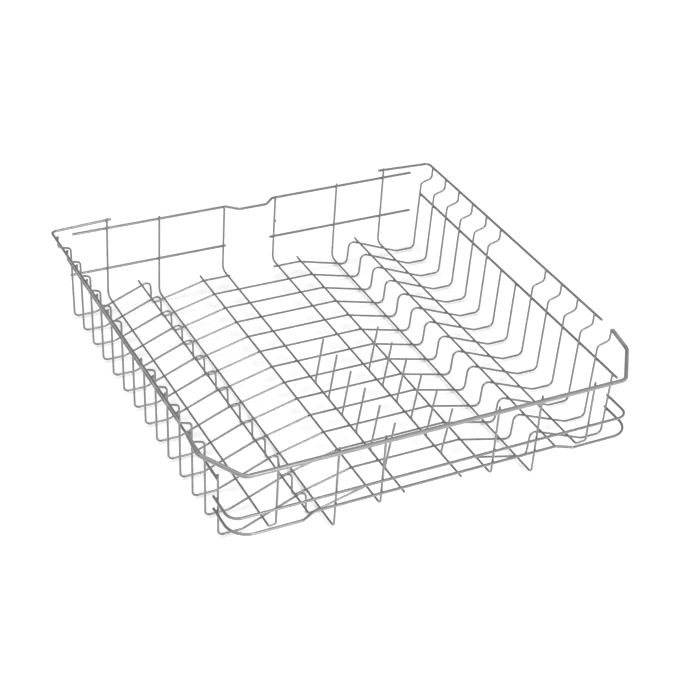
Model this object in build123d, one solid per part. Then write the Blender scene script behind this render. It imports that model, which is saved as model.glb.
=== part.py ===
"""Upper basket of a household dishwasher, welded from coated round wire.

Millimetres, +Z up, +Y to the back, origin on the ground under the middle of the basket.
Every wire is one solid. Wires that are welded together touch along their coating.
"""

import os
from math import hypot, radians, sin, tan

from build123d import *

# Wire stock, coating included
FINE_WIRE = 2.5
FRAME_WIRE = 3.2
BAR_WIRE = 5.0
END_BREAK = 0.2  # chamfer on a cut end, as a share of the wire's diameter

# The row of cross wires, counted from the back
CROSS_COUNT = 14
PITCH = 35.0
BACK_COUNT = 6  # behind the short ones
SHORT_COUNT = 2  # in the middle, short ones that stop at the side wire

# The section across the basket: outer parts go by the wall, the deck by the middle, the ramp takes the rest
HALF_WIDTH = 241.0  # at the floor
RIM_HEIGHT = 120.0
WALL_SPLAY = 2.6  # a wall leans out by this much from floor to joggle
RIM_STEP = 15.6  # the joggle carries the rim this far outside the wall
JOGGLE_DROP = 13.0  # from the rim down to the joggle
JOGGLE_FALL = 4.5  # height of the joggle itself
REST_HEIGHT = 4.0  # the outer flat of the floor
REST_WIDTH = 27.0
SLOPE_WIDTH = 73.0  # from the outer flat up to the ridge
RIDGE_HEIGHT = 34.2
RIDGE_BACK = 2.0  # the ridge's steep inner side goes in by this much
FOOT_DIP = 4.7  # the foot's corner lies this far below the outer flat
DECK_HALF = 67.5
DECK_HEIGHT = 18.0
TIGHT_BEND = 6.3
WIDE_BEND = 15.0
JOGGLE_BEND = 5.0
DECK_BEND = 5.0

# The floor wires that run from back to front
OUTER_WIRE_GAP = 21.9  # inward from the outer flat
RIDGE_WIRE_GAP = 12.4  # outward from the ridge
FOOT_WIRE_GAP = 15.6  # inward from the foot
DECK_WIRE_GAP = 1.4  # outward from the deck's corner
TINE_BAR_OFFSET = 35.5  # from the middle
BACK_GAP = 13.6  # from the first cross wire to the back uprights
FRONT_GAP = 35.3  # from the last cross wire to the front uprights
BACK_BEND = 7.8
FRONT_BEND = 4.9
FRONT_RISE = 15.7  # the outer floor wires climb this far, over an equal run, before their upright
START_BEHIND = 9.0  # floor wires without an upright start this far behind the first cross wire
RIDGE_STOP = 4.0  # they stop this far behind the front uprights
TINE_BAR_STOP = 6.8
BACK_TIP = 3.6  # the uprights stand this far above the wire that they carry
FRONT_TIP = 1.6
LOW_TIP = 1.2
RIM_TIP = 0.6

# Frame wires, with drops from the rim and heights from the ground
SIDE_DROP = 36.0
BACK_TOP_DROP = 8.7
BACK_LOW_HEIGHT = 54.0
BAR_DROP = 13.3
UPPER_RAIL_HEIGHT = 53.4
LOWER_RAIL_HEIGHT = 36.9
RIM_END_RISE = 3.0
RIM_CORNER = 5.8
BACK_TOP_INSET = 5.8  # the back wires end this far inside the feet of the walls
BACK_LOW_INSET = 1.9
OVERHANG = 6.0  # a frame wire runs on past the last wire it holds
RIM_OVERHANG = 12.0
RECESS_DEPTH = 12.4  # the back top wire steps in here, round the water feed pipe
RECESS_RAMP = 13.6
RECESS_BEND = 4.9
BAR_CORNER = 12.0
BAR_CORNER_Y = 28.5  # the bar's side corner lies this far in front of its end wire
BAR_CORNER_DROP = 8.2
BAR_END_DROP = 1.4
BAR_FRONT_INSET = 32.1  # its front corners lie this far inside its side runs
UPPER_RAIL_CORNER = 14.0
LOWER_RAIL_CORNER = 24.0
RAIL_BULGE = 9.0  # the lower rail steps out here, clear of the outer uprights
BULGE_PAST = 25.7  # and runs on this far past them
BULGE_RAMP = 17.0
BULGE_BEND = 6.0

# Tines on the two middle floor wires
TINE_COUNT = 6
TINE_HEIGHT = 68.0
TINE_LEAN = 10.4  # degrees towards the front

FINE = FINE_WIRE / 2
FRAME = FRAME_WIRE / 2
BAR = BAR_WIRE / 2
FINE_ON_FINE = FINE + FINE
FINE_ON_FRAME = FINE + FRAME
FINE_ON_BAR = FINE + BAR

# Stations along the depth, with the middle of the whole depth at zero
FIRST_SHORT = BACK_COUNT + 1
LAST_SHORT = BACK_COUNT + SHORT_COUNT
ROW = (CROSS_COUNT - 1) * PITCH
DEPTH_BACK = BACK_GAP + FINE + FRAME_WIRE
DEPTH_FRONT = FRONT_GAP + FINE + FRAME_WIRE + RAIL_BULGE
FIRST_CROSS = (ROW + DEPTH_FRONT - DEPTH_BACK) / 2
LAST_CROSS = FIRST_CROSS - ROW
BACK = FIRST_CROSS + BACK_GAP
FRONT = LAST_CROSS - FRONT_GAP
BACK_OUTSIDE = BACK + FINE_ON_FRAME
FRONT_OUTSIDE = FRONT - FINE_ON_FRAME
BAR_FRONT = FRONT - FINE_ON_BAR
BAR_WIRE_NUMBER = CROSS_COUNT - 1
RIM_LAST = CROSS_COUNT - 2

# Stations across the section
WALL_TOP = HALF_WIDTH + WALL_SPLAY
RIM_TOP = WALL_TOP + RIM_STEP
REST_END = HALF_WIDTH - REST_WIDTH
RIDGE = REST_END - SLOPE_WIDTH
FOOT = RIDGE - RIDGE_BACK
OUTER_WIRE = REST_END - OUTER_WIRE_GAP
RIDGE_WIRE = RIDGE + RIDGE_WIRE_GAP
FOOT_WIRE = FOOT - FOOT_WIRE_GAP
DECK_WIRE = DECK_HALF + DECK_WIRE_GAP
FEED_GAP_SIDE = TINE_BAR_OFFSET - FINE - FRAME_WIRE

# Heights and slopes
JOGGLE_TOP_HEIGHT = RIM_HEIGHT - JOGGLE_DROP
JOGGLE_FOOT_HEIGHT = JOGGLE_TOP_HEIGHT - JOGGLE_FALL
SIDE_HEIGHT = RIM_HEIGHT - SIDE_DROP
BACK_TOP_HEIGHT = RIM_HEIGHT - BACK_TOP_DROP
BAR_HEIGHT = RIM_HEIGHT - BAR_DROP
WALL_TILT = WALL_SPLAY / (JOGGLE_FOOT_HEIGHT - REST_HEIGHT)
SLOPE = (RIDGE_HEIGHT - REST_HEIGHT) / SLOPE_WIDTH
RAMP = (DECK_HEIGHT - REST_HEIGHT + FOOT_DIP) / (FOOT - DECK_HALF)


def cross_station(number):
    """Depth of a cross wire, counted from one at the back."""
    return FIRST_CROSS - (number - 1) * PITCH


def beside_wall(height, gap):
    """Half width of a wire that lies along the outside of the leaning walls."""
    return HALF_WIDTH + WALL_TILT * (height - REST_HEIGHT) + gap * hypot(1, WALL_TILT)


def on_slope(x):
    """Height of a fine wire that lies on the outer slope of the floor."""
    return REST_HEIGHT + SLOPE * (REST_END - x) + FINE_ON_FINE * hypot(1, SLOPE)


def on_ramp(x):
    """Height of a fine wire that lies on the ramp between foot and deck."""
    return DECK_HEIGHT - RAMP * (x - DECK_HALF) + FINE_ON_FINE * hypot(1, RAMP)


def bent_wire(points, bends, diameter):
    """Round wire along straight legs, with one bend radius for each inner corner."""
    path = FilletPolyline(*points, radius=bends) if bends else Line(*points)
    section = Plane(origin=path @ 0, z_dir=path % 0) * Circle(diameter / 2)
    wire = sweep(section, path=path)
    cut_ends = wire.faces().filter_by(GeomType.PLANE)
    return chamfer(cut_ends.edges(), END_BREAK * diameter)


def mirrored(points):
    """A half path from its outer end inward, completed by its mirror image."""
    return [(-x, y, z) for x, y, z in points] + [(x, y, z) for x, y, z in reversed(points)]


def half_section(number):
    """Corners and bends of a cross wire from one wall top to the deck."""
    short = FIRST_SHORT <= number <= LAST_SHORT or number == CROSS_COUNT
    if short:
        wall_end = SIDE_HEIGHT + FRAME
        top = [(beside_wall(wall_end, 0), wall_end)]
        top_bends = []
    else:
        top = [
            (RIM_TOP, RIM_HEIGHT + FRAME + RIM_TIP),
            (RIM_TOP, JOGGLE_TOP_HEIGHT),
            (WALL_TOP, JOGGLE_FOOT_HEIGHT),
        ]
        top_bends = [JOGGLE_BEND, JOGGLE_BEND]
    floor = [
        (HALF_WIDTH, REST_HEIGHT),
        (REST_END, REST_HEIGHT),
        (RIDGE, RIDGE_HEIGHT),
        (FOOT, REST_HEIGHT - FOOT_DIP),
        (DECK_HALF, DECK_HEIGHT),
    ]
    station = cross_station(number)
    points = [(x, station, z) for x, z in top + floor]
    return points, top_bends + [TIGHT_BEND, WIDE_BEND, TIGHT_BEND, TIGHT_BEND, DECK_BEND]


def cross_wire(number):
    """A cross wire in one length, from wall to wall."""
    points, bends = half_section(number)
    return bent_wire(mirrored(points), bends + bends[::-1], FINE_WIRE)


def split_cross_wire(side):
    """Half of the first cross wire, which leaves the middle free for the feed pipe."""
    points, bends = half_section(1)
    path = points + [(FEED_GAP_SIDE, cross_station(1), DECK_HEIGHT)]
    return bent_wire([(side * x, y, z) for x, y, z in path], bends, FINE_WIRE)


def floor_wire(x, legs, bends):
    """A wire from back to front, given by depth and height in its upright plane."""
    return bent_wire([(x, y, z) for y, z in legs], bends, FINE_WIRE)


def outer_wire(side):
    """The outermost floor wire, with a slanting climb in front."""
    floor = on_slope(OUTER_WIRE)
    legs = [
        (BACK, RIM_HEIGHT + RIM_END_RISE + BACK_TIP),
        (BACK, floor),
        (FRONT + FRONT_RISE, floor),
        (FRONT, floor + FRONT_RISE),
        (FRONT, BAR_HEIGHT + BAR + FRONT_TIP),
    ]
    return floor_wire(side * OUTER_WIRE, legs, [BACK_BEND, BACK_BEND, BACK_BEND])


def ridge_wire(side):
    """The straight wire along the ridge of the floor."""
    floor = on_slope(RIDGE_WIRE)
    legs = [(FIRST_CROSS + START_BEHIND, floor), (FRONT + RIDGE_STOP, floor)]
    return floor_wire(side * RIDGE_WIRE, legs, [])


def foot_wire(side):
    """The wire beside the feet, with an upright at both ends."""
    floor = on_ramp(FOOT_WIRE)
    legs = [
        (BACK, BACK_TOP_HEIGHT + FRAME + BACK_TIP),
        (BACK, floor),
        (FRONT, floor),
        (FRONT, BAR_HEIGHT + BAR + FRONT_TIP),
    ]
    return floor_wire(side * FOOT_WIRE, legs, [BACK_BEND, FRONT_BEND])


def deck_wire(side):
    """The wire at the edge of the deck, with an upright in front only."""
    floor = on_ramp(DECK_WIRE)
    legs = [
        (FIRST_CROSS + START_BEHIND, floor),
        (FRONT, floor),
        (FRONT, BAR_HEIGHT + BAR + FRONT_TIP),
    ]
    return floor_wire(side * DECK_WIRE, legs, [FRONT_BEND])


def tine_bar(side):
    """The wire that carries the tines, with an upright beside the feed pipe."""
    floor = DECK_HEIGHT + FINE_ON_FINE
    legs = [
        (BACK, BACK_TOP_HEIGHT + LOW_TIP),
        (BACK, floor),
        (FRONT + TINE_BAR_STOP, floor),
    ]
    return floor_wire(side * TINE_BAR_OFFSET, legs, [BACK_BEND])


def tine(side, place):
    """A leaning tine on its bar, halfway between two cross wires."""
    base_y = cross_station(LAST_SHORT + place) + PITCH / 2
    lean = radians(TINE_LEAN)
    base_z = DECK_HEIGHT + FINE_ON_FINE + FINE + FINE * sin(lean) * (1 - 2 * END_BREAK)
    base = Vector(side * TINE_BAR_OFFSET, base_y, base_z)
    tip = base + Vector(0, -TINE_HEIGHT * tan(lean), TINE_HEIGHT)
    return bent_wire([base, tip], [], FINE_WIRE)


def rim(side):
    """The side rim, outside the joggled wall tops, turned in along the back."""
    x = RIM_TOP + FINE_ON_FRAME
    path = [
        (side * (OUTER_WIRE - OVERHANG), BACK_OUTSIDE, RIM_HEIGHT + RIM_END_RISE),
        (side * x, BACK_OUTSIDE, RIM_HEIGHT),
        (side * x, cross_station(RIM_LAST) - RIM_OVERHANG, RIM_HEIGHT),
    ]
    return bent_wire(path, [RIM_CORNER], FRAME_WIRE)


def side_wire(side):
    """The straight wire along the outside of a wall."""
    x = side * beside_wall(SIDE_HEIGHT, FINE_ON_FRAME)
    ends = [(x, FIRST_CROSS + FRAME_WIRE, SIDE_HEIGHT), (x, LAST_CROSS - OVERHANG, SIDE_HEIGHT)]
    return bent_wire(ends, [], FRAME_WIRE)


def back_top_wire():
    """The top wire of the back, stepped in round the feed pipe."""
    ramp_end = TINE_BAR_OFFSET - FRAME_WIRE
    half = [
        (HALF_WIDTH - BACK_TOP_INSET, BACK_OUTSIDE, BACK_TOP_HEIGHT),
        (ramp_end, BACK_OUTSIDE, BACK_TOP_HEIGHT),
        (ramp_end - RECESS_RAMP, BACK_OUTSIDE - RECESS_DEPTH, BACK_TOP_HEIGHT),
    ]
    return bent_wire(mirrored(half), [RECESS_BEND] * 4, FRAME_WIRE)


def back_low_wire(side):
    """One half of the lower back wire."""
    ends = [
        (side * (HALF_WIDTH - BACK_LOW_INSET), BACK_OUTSIDE, BACK_LOW_HEIGHT),
        (side * FEED_GAP_SIDE, BACK_OUTSIDE, BACK_LOW_HEIGHT),
    ]
    return bent_wire(ends, [], FRAME_WIRE)


def front_bar():
    """The thick bar along the front, which climbs round both corners to the wall tops."""
    x = RIM_TOP + FINE_ON_BAR
    end_station = cross_station(BAR_WIRE_NUMBER)
    half = [
        (x, end_station + BAR, RIM_HEIGHT - BAR_END_DROP),
        (x, end_station - BAR_CORNER_Y, RIM_HEIGHT - BAR_CORNER_DROP),
        (x - BAR_FRONT_INSET, BAR_FRONT, BAR_HEIGHT),
    ]
    return bent_wire(mirrored(half), [BAR_CORNER] * 4, BAR_WIRE)


def upper_rail():
    """The upper front rail, wrapped round to the walls of the last cross wire."""
    x = beside_wall(UPPER_RAIL_HEIGHT, FINE_ON_FRAME)
    half = [
        (x, LAST_CROSS + OVERHANG, UPPER_RAIL_HEIGHT),
        (x, FRONT_OUTSIDE, UPPER_RAIL_HEIGHT),
    ]
    return bent_wire(mirrored(half), [UPPER_RAIL_CORNER] * 2, FRAME_WIRE)


def lower_rail():
    """The lower front rail, stepped out at both ends of the front."""
    x = beside_wall(LOWER_RAIL_HEIGHT, FINE_ON_FRAME)
    step = OUTER_WIRE - BULGE_PAST
    half = [
        (x, LAST_CROSS + OVERHANG, LOWER_RAIL_HEIGHT),
        (x, FRONT_OUTSIDE - RAIL_BULGE, LOWER_RAIL_HEIGHT),
        (step, FRONT_OUTSIDE - RAIL_BULGE, LOWER_RAIL_HEIGHT),
        (step - BULGE_RAMP, FRONT_OUTSIDE, LOWER_RAIL_HEIGHT),
    ]
    bends = [LOWER_RAIL_CORNER, BULGE_BEND, BULGE_BEND]
    return bent_wire(mirrored(half), bends + bends[::-1], FRAME_WIRE)


def all_wires():
    """Every wire of the basket under its node name."""
    wires = {
        "back_top_wire": back_top_wire(),
        "front_bar": front_bar(),
        "front_rail_upper": upper_rail(),
        "front_rail_lower": lower_rail(),
    }
    for number in range(2, CROSS_COUNT + 1):
        wires[f"cross_wire_{number:02d}"] = cross_wire(number)
    for name, side in (("left", -1), ("right", 1)):
        wires[f"cross_wire_01_{name}"] = split_cross_wire(side)
        wires[f"outer_floor_wire_{name}"] = outer_wire(side)
        wires[f"ridge_floor_wire_{name}"] = ridge_wire(side)
        wires[f"foot_floor_wire_{name}"] = foot_wire(side)
        wires[f"deck_floor_wire_{name}"] = deck_wire(side)
        wires[f"tine_bar_{name}"] = tine_bar(side)
        wires[f"rim_{name}"] = rim(side)
        wires[f"side_wire_{name}"] = side_wire(side)
        wires[f"back_low_wire_{name}"] = back_low_wire(side)
        for place in range(1, TINE_COUNT + 1):
            wires[f"tine_{name}_{place}"] = tine(side, place)
    return wires


wires = all_wires()
ground = wires["cross_wire_02"].bounding_box().min.Z
os.makedirs("parts", exist_ok=True)
for name, wire in wires.items():
    export_step(Pos(0, 0, -ground) * wire, f"parts/{name}.step")
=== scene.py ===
"""Looks of the dishwasher basket: coated wire on a pale studio floor."""

import math

import bmesh
import bpy
import numpy as np
from mathutils import Matrix, Vector
from mathutils.bvhtree import BVHTree


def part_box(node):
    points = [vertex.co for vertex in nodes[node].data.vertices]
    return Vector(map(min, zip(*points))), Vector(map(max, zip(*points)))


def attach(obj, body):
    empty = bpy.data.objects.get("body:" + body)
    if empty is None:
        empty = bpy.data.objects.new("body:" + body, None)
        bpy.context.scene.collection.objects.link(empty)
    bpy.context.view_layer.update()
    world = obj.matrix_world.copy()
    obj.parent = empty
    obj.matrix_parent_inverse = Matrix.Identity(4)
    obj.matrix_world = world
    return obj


# Camera, worked out from the photograph's straight wires
IMAGE_SIDE = 680
FOCAL_PIXELS = 1668.29
SENSOR = 36.0
CAMERA_PLACE = Vector((-0.79003, -1.44255, 1.14144))
YAW = 0.5032
PITCH = 0.5813
ROLL = -0.0724

# Coating, with colours in linear light and each noise as scale, detail and roughness
GREY = (0.151, 0.151, 0.152)
FRAME_GREY = (0.177, 0.177, 0.179)
BAR_GREY = (0.199, 0.195, 0.204)
FRAME_WIRES = ("rim_", "side_wire_", "back_", "front_rail_")
CLOUD_NOISE = (55.0, 5.0, 0.6)
CLOUD_STOPS = ((0.28, 0.87), (0.5, 1.0), (0.72, 1.13))  # place and share of the colour
GLOSS_NOISE = (240.0, 4.0, 0.55)
SATIN = (0.22, 0.34)  # lowest and highest roughness
BAR_SATIN = (0.32, 0.5)
PEEL_NOISE = (1400.0, 3.0, 0.5)
PEEL_STRENGTH = 0.22
PEEL_DEPTH = 0.00012
SPECULAR = 0.9
COAT_WEIGHT = 1.0
COAT_ROUGHNESS = 0.16

# Coating that pooled at the welds and ran to the wire ends, in metres
TOUCH = 0.00015  # wires closer than this are welded
STEP = 0.0005  # spacing of the points tried along a mesh edge
TINY = 1e-9  # stands in for an edge's zero run, so that it can be divided by
WELD_APART = 0.005
WELD_REACH = 0.0016
WELD_THICKNESS = 0.0006
END_CORNERS = 8  # a flat round face with this many corners is the end of a wire
SAME_PLANE = 0.9999  # cosine of the angle between faces that count as one plane
END_FLAT = 0.6  # the flat part of a cut end, as a share of the wire's radius
TIP_LENGTH = 0.8  # as a share of the wire's radius
TIP_SWELL = 1.02  # as a share of the wire's radius
DROP_WIRE = "tine_bar_right"
DROP_HEIGHT = 0.0784
DROP_SIZE = (0.0018, 0.0013, 0.0018)
BALL_SIDES = 14
BALL_RINGS = 8

# Studio, in metres and radians
WHITE = (1.0, 1.0, 1.0)
FLOOR_HALF = 60.0
FLOOR_NOISE = (9.0, 3.0, 0.5)
FLOOR_STOPS = ((0.3, 0.93), (0.7, 0.95))  # place and share of white
FLOOR_ROUGHNESS = 0.9
FLOOR_SPECULAR = 0.1
FLOOR_GLOW = 0.28  # the floor is a light table, lit from below too
ROOM_STOPS = ((0.0, 1.0), (0.14, 0.22))  # height of the direction and share of white
AIM = Vector((0, 0, 0.06))
OVERHEAD_PLACE = Vector((-0.55, -0.4, 4.0))
OVERHEAD_ANGLE = 0.9
OVERHEAD_POWER = 1.75
FRONT_PLACE = Vector((0.2, -1.85, 0.85))
FRONT_SIDE = 0.6
FRONT_POWER = 22.0

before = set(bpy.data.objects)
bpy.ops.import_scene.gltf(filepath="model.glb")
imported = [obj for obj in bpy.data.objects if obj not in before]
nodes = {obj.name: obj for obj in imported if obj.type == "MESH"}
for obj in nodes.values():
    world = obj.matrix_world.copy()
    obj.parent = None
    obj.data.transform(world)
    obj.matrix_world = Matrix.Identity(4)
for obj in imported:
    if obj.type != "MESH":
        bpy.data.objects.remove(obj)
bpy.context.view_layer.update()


def new_material(name):
    """An empty node material with its shader and output joined."""
    material = bpy.data.materials.new(name)
    material.use_nodes = True
    tree = material.node_tree
    tree.nodes.clear()
    output = tree.nodes.new("ShaderNodeOutputMaterial")
    shader = tree.nodes.new("ShaderNodeBsdfPrincipled")
    tree.links.new(shader.outputs["BSDF"], output.inputs["Surface"])
    return material, tree, shader


def noise(tree, scale, detail, roughness):
    """Solid noise in the object's own coordinates, in metres."""
    place = tree.nodes.new("ShaderNodeTexCoord")
    pattern = tree.nodes.new("ShaderNodeTexNoise")
    pattern.inputs["Scale"].default_value = scale
    pattern.inputs["Detail"].default_value = detail
    pattern.inputs["Roughness"].default_value = roughness
    tree.links.new(place.outputs["Object"], pattern.inputs["Vector"])
    return pattern.outputs["Fac"]


def ramp(tree, factor, colour, stops):
    """A colour ramp whose stops are darker and paler shares of one colour."""
    node = tree.nodes.new("ShaderNodeValToRGB")
    elements = node.color_ramp.elements
    for place, _ in stops[1:-1]:
        elements.new(place)
    for element, (place, share) in zip(elements, stops):
        element.position = place
        element.color = (*(part * share for part in colour), 1.0)
    tree.links.new(factor, node.inputs["Fac"])
    return node.outputs["Color"]


def spread(tree, factor, low, high):
    """The factor from 0 to 1 mapped to a range."""
    node = tree.nodes.new("ShaderNodeMapRange")
    node.inputs["To Min"].default_value = low
    node.inputs["To Max"].default_value = high
    tree.links.new(factor, node.inputs["Value"])
    return node.outputs["Result"]


def coating(name, colour, roughness):
    """Satin plastic coating: faint clouding, uneven gloss and a fine orange-peel skin."""
    material, tree, shader = new_material(name)
    clouds = ramp(tree, noise(tree, *CLOUD_NOISE), colour, CLOUD_STOPS)
    tree.links.new(clouds, shader.inputs["Base Color"])
    gloss = spread(tree, noise(tree, *GLOSS_NOISE), *roughness)
    tree.links.new(gloss, shader.inputs["Roughness"])
    peel = noise(tree, *PEEL_NOISE)
    bump = tree.nodes.new("ShaderNodeBump")
    bump.inputs["Strength"].default_value = PEEL_STRENGTH
    bump.inputs["Distance"].default_value = PEEL_DEPTH
    tree.links.new(peel, bump.inputs["Height"])
    tree.links.new(bump.outputs["Normal"], shader.inputs["Normal"])
    shader.inputs["Specular IOR Level"].default_value = SPECULAR
    shader.inputs["Coat Weight"].default_value = COAT_WEIGHT
    shader.inputs["Coat Roughness"].default_value = COAT_ROUGHNESS
    return material


def sort_wires():
    """Names of the fine wires, of the frame wires and of the front bar."""
    bar = ["front_bar"]
    heavy = sorted(name for name in nodes if name.startswith(FRAME_WIRES))
    fine = sorted(name for name in nodes if name not in heavy + bar)
    return fine, heavy, bar


def dress_wires():
    """Every wire gets a grey coating, which is paler on the frame wires and the front bar."""
    wire_look = coating("wire_coating", GREY, SATIN)
    frame_look = coating("frame_coating", FRAME_GREY, SATIN)
    bar_look = coating("bar_coating", BAR_GREY, BAR_SATIN)
    looks = (wire_look, frame_look, bar_look)
    for names, look in zip(sort_wires(), looks):
        for name in names:
            for material_slot in nodes[name].material_slots:
                material_slot.material = look
    return looks


def wire_edges(node):
    """Start and end points of a wire's mesh edges."""
    points = np.empty(3 * len(node.data.vertices), np.float32)
    node.data.vertices.foreach_get("co", points)
    pairs = np.empty(2 * len(node.data.edges), np.int32)
    node.data.edges.foreach_get("vertices", pairs)
    points = points.reshape(-1, 3).astype(float)
    return points[pairs[0::2]], points[pairs[1::2]]


def points_inside(edges, low, high):
    """Points at close steps along the edges, as far as these lie in a box."""
    starts, ends = edges
    run = ends - starts
    run = np.where(np.abs(run) < TINY, TINY, run)
    first, second = (low - starts) / run, (high - starts) / run
    enter = np.clip(np.minimum(first, second).max(1), 0, 1)
    leave = np.clip(np.maximum(first, second).min(1), 0, 1)
    kept = np.flatnonzero(enter < leave)
    if not len(kept):
        return []
    lengths = (leave - enter)[kept] * np.linalg.norm(run[kept], axis=1)
    shares = np.linspace(0, 1, int(lengths.max() / STEP) + 2)
    along = enter[kept, None] + (leave - enter)[kept, None] * shares
    return (starts[kept, None] + along[..., None] * run[kept, None]).reshape(-1, 3)


def find_welds():
    """Places where two wires touch, each with the direction across the contact."""
    depsgraph = bpy.context.evaluated_depsgraph_get()
    edges = {name: wire_edges(node) for name, node in nodes.items()}
    trees = {name: BVHTree.FromObject(node, depsgraph) for name, node in nodes.items()}
    boxes = {name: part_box(name) for name in nodes}
    names = sorted(nodes, key=lambda name: (len(edges[name][0]), name))
    welds = []
    for index, plain in enumerate(names):
        for other in names[index + 1 :]:
            low = np.maximum(boxes[plain][0], boxes[other][0]) - TOUCH
            high = np.minimum(boxes[plain][1], boxes[other][1]) + TOUCH
            if (low < high).all():
                welds += weld_places(points_inside(edges[plain], low, high), trees[other])
    return welds


def weld_places(points, tree):
    """Groups the points that touch the other wire into separate contacts."""
    groups = []
    for point in points:
        place, normal, _, _ = tree.find_nearest(Vector(point), TOUCH)
        if place is None:
            continue
        near = [group for group in groups if (group[0][0] - place).length < WELD_APART]
        if near:
            near[0].append((place, normal))
        else:
            groups.append([(place, normal)])
    return [middle_of(group) for group in groups]


def middle_of(group):
    """Mean place and direction of a group of contact points."""
    place = sum((place for place, _ in group), Vector()) / len(group)
    normal = sum((normal for _, normal in group), Vector()).normalized()
    return place, normal


def flat_groups(shape):
    """Groups of joined faces that lie in one plane."""
    left = dict.fromkeys(shape.faces)
    groups = []
    while left:
        waiting = [left.popitem()[0]]
        group = []
        while waiting:
            face = waiting.pop()
            group.append(face)
            joined = [other for edge in face.edges for other in edge.link_faces]
            for other in joined:
                if other in left and other.normal.dot(face.normal) > SAME_PLANE:
                    del left[other]
                    waiting.append(other)
        groups.append(group)
    return groups


def find_ends(node):
    """Centre, direction and wire radius of the flat round face at each end of a wire."""
    shape = bmesh.new()
    shape.from_mesh(node.data)
    ends = []
    for faces in flat_groups(shape):
        points = list({corner: corner.co for face in faces for corner in face.verts}.values())
        centre = sum(points, Vector()) / len(points)
        reach = [(point - centre).length for point in points]
        if len(points) >= END_CORNERS and max(reach) - min(reach) < TOUCH:
            ends.append((centre, faces[0].normal.copy(), max(reach) / END_FLAT))
    shape.free()
    return ends


def coating_piece(name, blobs, look):
    """One piece made of smooth blobs, each given by its place, direction and three half sizes."""
    ball = bmesh.new()
    bmesh.ops.create_uvsphere(ball, u_segments=BALL_SIDES, v_segments=BALL_RINGS, radius=1.0)
    ball.verts.index_update()
    points, faces = [], []
    for place, direction, size in blobs:
        turn = direction.to_track_quat("Z", "Y").to_matrix().to_4x4()
        matrix = Matrix.Translation(place) @ turn @ Matrix.Diagonal((*size, 1.0))
        first = len(points)
        points += [matrix @ corner.co for corner in ball.verts]
        faces += [[first + corner.index for corner in face.verts] for face in ball.faces]
    ball.free()
    mesh = bpy.data.meshes.new(name)
    mesh.from_pydata(points, [], faces)
    mesh.polygons.foreach_set("use_smooth", [True] * len(faces))
    mesh.materials.append(look)
    piece = bpy.data.objects.new(name, mesh)
    bpy.context.scene.collection.objects.link(piece)
    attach(piece, "root")


def tips(names):
    """A dome of coating over each end of the wires, widest where the cut end's chamfer starts."""
    blobs = []
    for name in names:
        for centre, direction, radius in find_ends(nodes[name]):
            start = centre - direction * radius * (1 - END_FLAT)
            size = (radius * TIP_SWELL, radius * TIP_SWELL, radius * TIP_LENGTH)
            blobs.append((start, direction, size))
    return blobs


def coating_details(wire_look, frame_look, bar_look):
    """Coating pooled at the welds, rounded wire ends, and one drop on an upright at the back."""
    pool = (WELD_REACH, WELD_REACH, WELD_THICKNESS)
    pools = [(place, normal, pool) for place, normal in find_welds()]
    coating_piece("weld_pools", pools, wire_look)
    fine, heavy, bar = sort_wires()
    coating_piece("wire_tips", tips(fine), wire_look)
    coating_piece("frame_tips", tips(heavy), frame_look)
    coating_piece("bar_tips", tips(bar), bar_look)
    low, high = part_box(DROP_WIRE)
    radius = (high.x - low.x) / 2
    drop = (Vector((high.x, high.y - radius, DROP_HEIGHT)), Vector((0, 0, 1)), DROP_SIZE)
    coating_piece("coating_drop", [drop], wire_look)


def lay_floor():
    """A wide white table, lit from below too."""
    mesh = bpy.data.meshes.new("floor")
    shape = bmesh.new()
    bmesh.ops.create_grid(shape, x_segments=1, y_segments=1, size=FLOOR_HALF)
    shape.to_mesh(mesh)
    shape.free()
    floor = bpy.data.objects.new("floor", mesh)
    bpy.context.scene.collection.objects.link(floor)
    material, tree, shader = new_material("floor_paper")
    colour = ramp(tree, noise(tree, *FLOOR_NOISE), WHITE, FLOOR_STOPS)
    tree.links.new(colour, shader.inputs["Base Color"])
    shader.inputs["Roughness"].default_value = FLOOR_ROUGHNESS
    shader.inputs["Specular IOR Level"].default_value = FLOOR_SPECULAR
    shader.inputs["Emission Color"].default_value = (*WHITE, 1.0)
    shader.inputs["Emission Strength"].default_value = FLOOR_GLOW
    mesh.materials.append(material)


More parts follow.
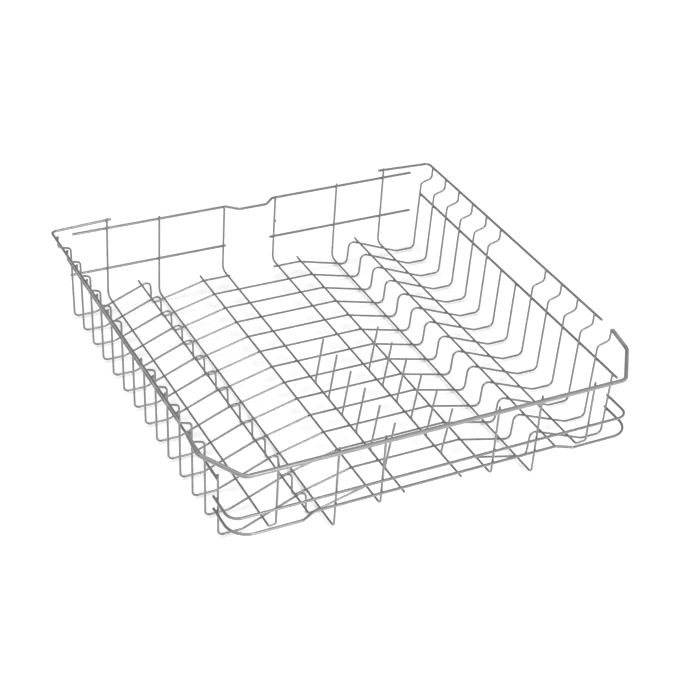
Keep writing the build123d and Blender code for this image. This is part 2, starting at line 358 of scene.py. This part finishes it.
def surroundings():
    """A pale room that is brightest at the horizon, where it meets the floor."""
    world = bpy.data.worlds.new("studio")
    world.use_nodes = True
    tree = world.node_tree
    direction = tree.nodes.new("ShaderNodeTexCoord")
    height = tree.nodes.new("ShaderNodeSeparateXYZ")
    tree.links.new(direction.outputs["Generated"], height.inputs["Vector"])
    colour = ramp(tree, height.outputs["Z"], WHITE, ROOM_STOPS)
    tree.links.new(colour, tree.nodes["Background"].inputs["Color"])
    bpy.context.scene.world = world


def lights():
    """A broad even light from overhead and a square softbox in front."""
    overhead = bpy.data.lights.new("overhead", "SUN")
    overhead.angle = OVERHEAD_ANGLE
    overhead.energy = OVERHEAD_POWER
    place_light(overhead, OVERHEAD_PLACE)
    front = bpy.data.lights.new("softbox_front", "AREA")
    front.shape = "SQUARE"
    front.size = FRONT_SIDE
    front.energy = FRONT_POWER
    place_light(front, FRONT_PLACE)


def place_light(light, place):
    """Puts a light in the scene so that it faces the basket."""
    lamp = bpy.data.objects.new(light.name, light)
    lamp.location = place
    lamp.rotation_euler = (AIM - place).to_track_quat("-Z", "Y").to_euler()
    bpy.context.scene.collection.objects.link(lamp)


def photo_camera():
    """A camera where the photographer stood."""
    level_share = math.cos(PITCH)
    forward = Vector((math.sin(YAW) * level_share, math.cos(YAW) * level_share, -math.sin(PITCH)))
    level = Vector((math.cos(YAW), -math.sin(YAW), 0.0))
    down = forward.cross(level)
    right = math.cos(ROLL) * level + math.sin(ROLL) * down
    below = -math.sin(ROLL) * level + math.cos(ROLL) * down
    data = bpy.data.cameras.new("photo_camera")
    data.sensor_fit = "HORIZONTAL"
    data.sensor_width = SENSOR
    data.lens = FOCAL_PIXELS / IMAGE_SIDE * SENSOR
    camera = bpy.data.objects.new("photo_camera", data)
    turn = Matrix((right, -below, -forward)).transposed()
    camera.matrix_world = Matrix.Translation(CAMERA_PLACE) @ turn.to_4x4()
    bpy.context.scene.collection.objects.link(camera)
    bpy.context.scene.camera = camera


coating_details(*dress_wires())
lay_floor()
surroundings()
lights()
photo_camera()
bpy.context.scene.view_settings.view_transform = "Standard"
